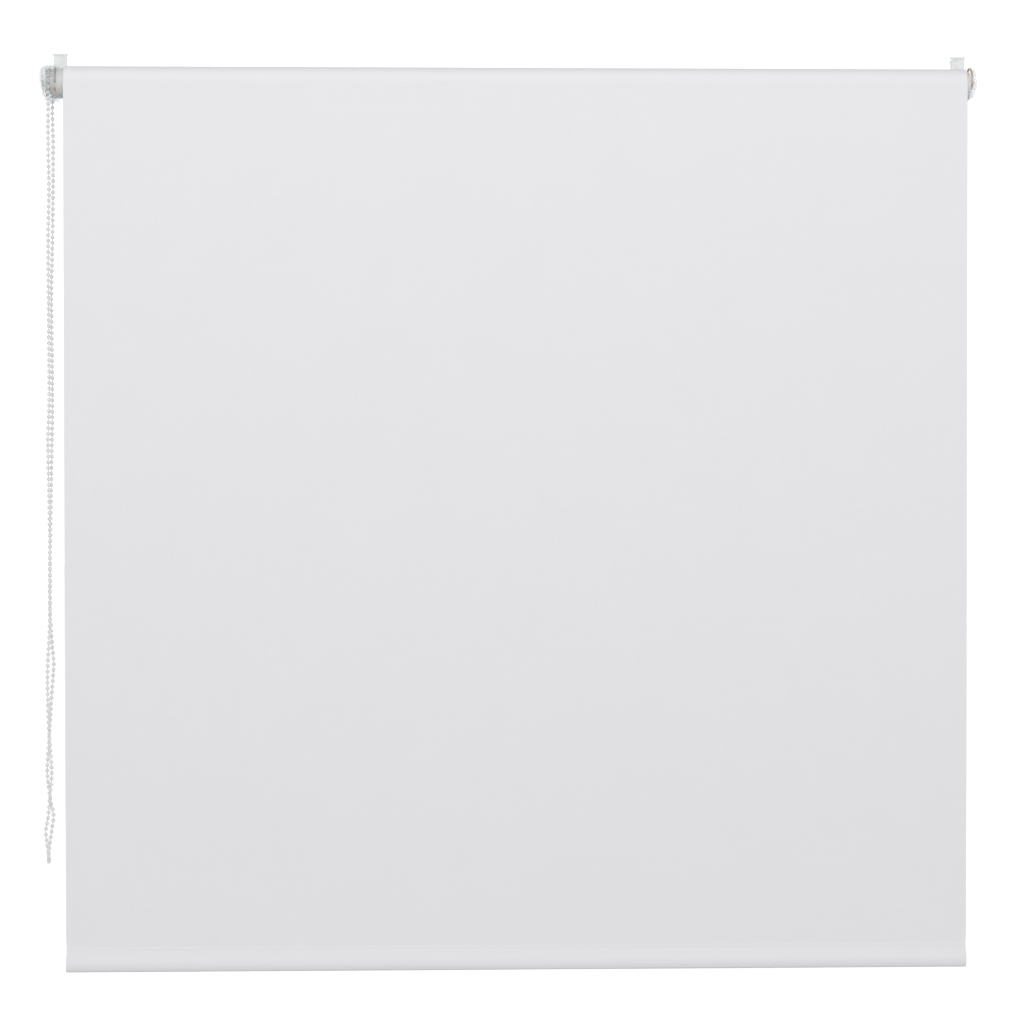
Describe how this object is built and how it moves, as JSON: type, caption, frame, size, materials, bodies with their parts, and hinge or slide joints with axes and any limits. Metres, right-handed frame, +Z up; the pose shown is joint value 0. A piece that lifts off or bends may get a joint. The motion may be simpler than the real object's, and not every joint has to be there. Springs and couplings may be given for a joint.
{
  "type": "roller blind",
  "caption": "White fabric roller blind with clear end brackets, sash hooks, bead-chain drive, spring-pin idler and hemmed bottom bar.",
  "frame": {"origin": "middle of the four bracket screws, on the plane where the brackets meet the sash", "axes": "+X along the roller to the right as seen from the room, +Y towards the window, +Z up"},
  "size_m": [0.9976, 0.0728, 0.9785],
  "materials": {
    "clear_plastic": "clear, polished mould",
    "frosted_plastic": "clear, slightly milky",
    "white_plastic": "satin",
    "bead_plastic": "gloss",
    "fabric": "plain close weave, matt",
    "steel": "satin",
    "aluminium": "mill finish",
    "foam": "closed-cell foam",
    "tape": "film tape"
  },
  "bodies": {
    "brackets": {"left_bracket": "clear_plastic", "right_bracket": "clear_plastic", "left_cover": "clear_plastic", "right_cover": "clear_plastic", "left_hook": "frosted_plastic", "right_hook": "frosted_plastic", "drive_spindle": "white_plastic", "spindle_clip": "steel", "ball_chain": "bead_plastic", "fabric_panel": "fabric"},
    "roller": {"drive_hub": "white_plastic", "roller_tube": "aluminium", "mounting_tape": "tape", "fabric_roll": "fabric", "idle_plug": "white_plastic", "idle_cap": "white_plastic", "idle_spring": "steel"},
    "wheel": {"chain_wheel": "white_plastic", "wheel_beads": "bead_plastic", "brake_spring": "steel"},
    "pin": {"idle_pin": "steel"},
    "bar": {"hem_pocket": "fabric", "bottom_bar": "white_plastic", "left_bar_cap": "white_plastic", "right_bar_cap": "white_plastic"},
    "left_clamp": {"left_jaw": "clear_plastic", "left_pad": "foam"},
    "right_clamp": {"right_jaw": "clear_plastic", "right_pad": "foam"}
  },
  "joints": [
    {"name": "roller_turn", "type": "hinge", "parent": "brackets", "child": "roller", "pos_m": [0, -0.025, -0.002], "axis": [-1, 0, 0], "range_deg": [0, 2880]},
    {"name": "wheel_turn", "type": "hinge", "parent": "brackets", "child": "wheel", "pos_m": [-0.4895, -0.025, -0.002], "axis": [-1, 0, 0], "range_deg": [0, 2880]},
    {"name": "bar_rise", "type": "slide", "parent": "brackets", "child": "bar", "axis": [0, 0, 1], "range_m": [0, 0.905], "deforming": ["fabric_panel"]},
    {"name": "pin_push", "type": "slide", "parent": "roller", "child": "pin", "axis": [-1, 0, 0], "range_m": [0, 0.005], "stiffness_N_per_m": 700, "springref_m": -0.004, "deforming": ["idle_spring"]},
    {"name": "left_jaw_slide", "type": "slide", "parent": "brackets", "child": "left_clamp", "axis": [0, 1, 0], "range_m": [-0.002, 0.006]},
    {"name": "right_jaw_slide", "type": "slide", "parent": "brackets", "child": "right_clamp", "axis": [0, 1, 0], "range_m": [-0.002, 0.006]}
  ],
  "couplings": [
    {"joint": "wheel_turn", "follows": "roller_turn", "ratio": 1},
    {"joint": "bar_rise", "follows": "roller_turn", "m_per_rad": 0.018}
  ]
}
